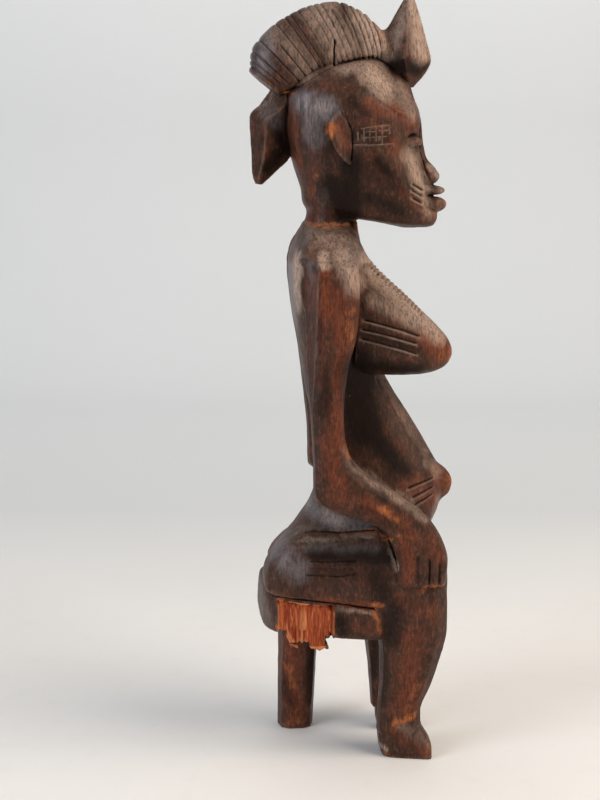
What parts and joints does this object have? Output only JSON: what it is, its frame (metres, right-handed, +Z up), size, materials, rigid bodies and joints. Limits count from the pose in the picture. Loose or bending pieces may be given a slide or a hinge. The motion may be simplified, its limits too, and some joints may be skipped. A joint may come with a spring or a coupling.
{
  "type": "carved wooden figure",
  "caption": "Seated woman carved from one block of dark wood on a low stool, with a fluted crest, a horn at the brow, hands on the thighs and one stool leg broken off.",
  "frame": {"origin": "centre of the bounding box's underside, on the plane that the feet and the stool's rear leg stand on", "axes": "+Z up from the soles to the tip of the horn; the figure faces -Y; its right side, with the broken leg, is -X"},
  "size_m": [0.1028, 0.1082, 0.402],
  "materials": {
    "dark_wood": "hand-rubbed dark patina, semi-gloss, worn on the high points"
  },
  "bodies": {
    "root": {"seated_figure": "dark_wood"}
  },
  "joints": []
}
